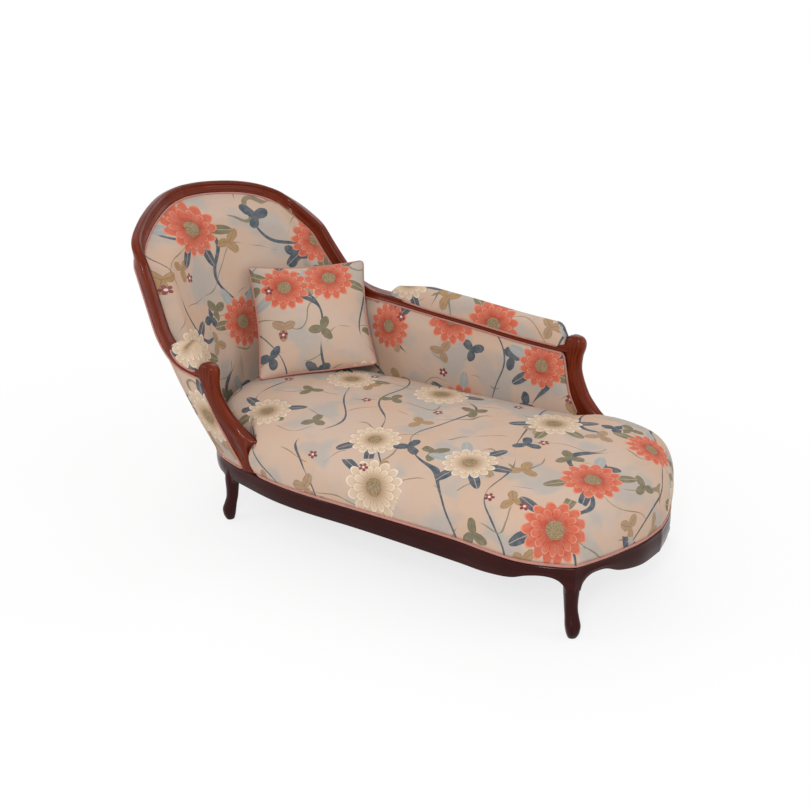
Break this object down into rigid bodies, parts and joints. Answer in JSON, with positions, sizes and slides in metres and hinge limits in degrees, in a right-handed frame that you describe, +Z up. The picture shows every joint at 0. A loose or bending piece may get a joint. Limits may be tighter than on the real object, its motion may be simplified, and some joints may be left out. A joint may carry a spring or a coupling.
{
  "type": "recamier",
  "caption": "Recamier with an arched barrel back, a short and a long padded arm, a domed seat with a bowed foot end, cabriole legs and a loose square pillow.",
  "frame": {"origin": "on the floor under the middle of the whole piece", "axes": "+X from the arched head end to the bowed foot end, +Y from the open side to the side of the long arm, +Z up"},
  "size_m": [1.7929, 0.822, 1.0119],
  "materials": {
    "mahogany": "dark polished mahogany",
    "show_wood": "polished red-brown mahogany",
    "beech": "plain sawn beech",
    "floral_cloth": "printed linen with large flowers on a cream ground",
    "welt_cloth": "plain salmon piping cloth",
    "jute": "woven jute",
    "horsehair": "curled hair stuffing",
    "spring_steel": "drawn wire",
    "black_cambric": "thin black cambric"
  },
  "bodies": {
    "frame": {"near_side_rail": "mahogany", "far_side_rail": "mahogany", "head_rail": "mahogany", "foot_rail": "mahogany", "head_near_leg": "mahogany", "head_far_leg": "mahogany", "foot_near_leg": "mahogany", "foot_far_leg": "mahogany", "near_arm_stump": "show_wood", "far_arm_stump": "show_wood", "near_arm_rail": "show_wood", "far_arm_rail": "show_wood", "near_back_post": "show_wood", "far_back_post": "show_wood", "crest_rail": "show_wood", "near_back_upright": "beech", "centre_back_slat": "beech", "far_back_upright": "beech", "head_cross_brace": "beech", "foot_cross_brace": "beech", "head_near_corner_block": "beech", "head_far_corner_block": "beech", "foot_near_corner_block": "beech", "foot_far_corner_block": "beech", "seat_webbing": "jute", "near_spring_1": "spring_steel", "near_spring_2": "spring_steel", "near_spring_3": "spring_steel", "near_spring_4": "spring_steel", "near_spring_5": "spring_steel", "middle_spring_1": "spring_steel", "middle_spring_2": "spring_steel", "middle_spring_3": "spring_steel", "middle_spring_4": "spring_steel", "middle_spring_5": "spring_steel", "far_spring_1": "spring_steel", "far_spring_2": "spring_steel", "far_spring_3": "spring_steel", "far_spring_4": "spring_steel", "far_spring_5": "spring_steel", "dust_cover": "black_cambric", "spring_hessian": "jute", "seat_stuffing": "horsehair", "seat_cover": "floral_cloth", "seat_welt": "welt_cloth", "near_outside_arm_cover": "floral_cloth", "outside_back_cover": "floral_cloth", "far_outside_arm_cover": "floral_cloth", "back_hessian": "jute", "near_inside_arm_panel": "floral_cloth", "inside_back_panel": "floral_cloth", "far_inside_arm_panel": "floral_cloth", "near_arm_pad": "floral_cloth", "far_arm_pad": "floral_cloth"},
    "pillow": {"throw_pillow": "floral_cloth"}
  },
  "joints": [
    {"name": "pillow_lift", "type": "slide", "parent": "frame", "child": "pillow", "axis": [0, 0, 1], "range_m": [0, 0.5]}
  ]
}
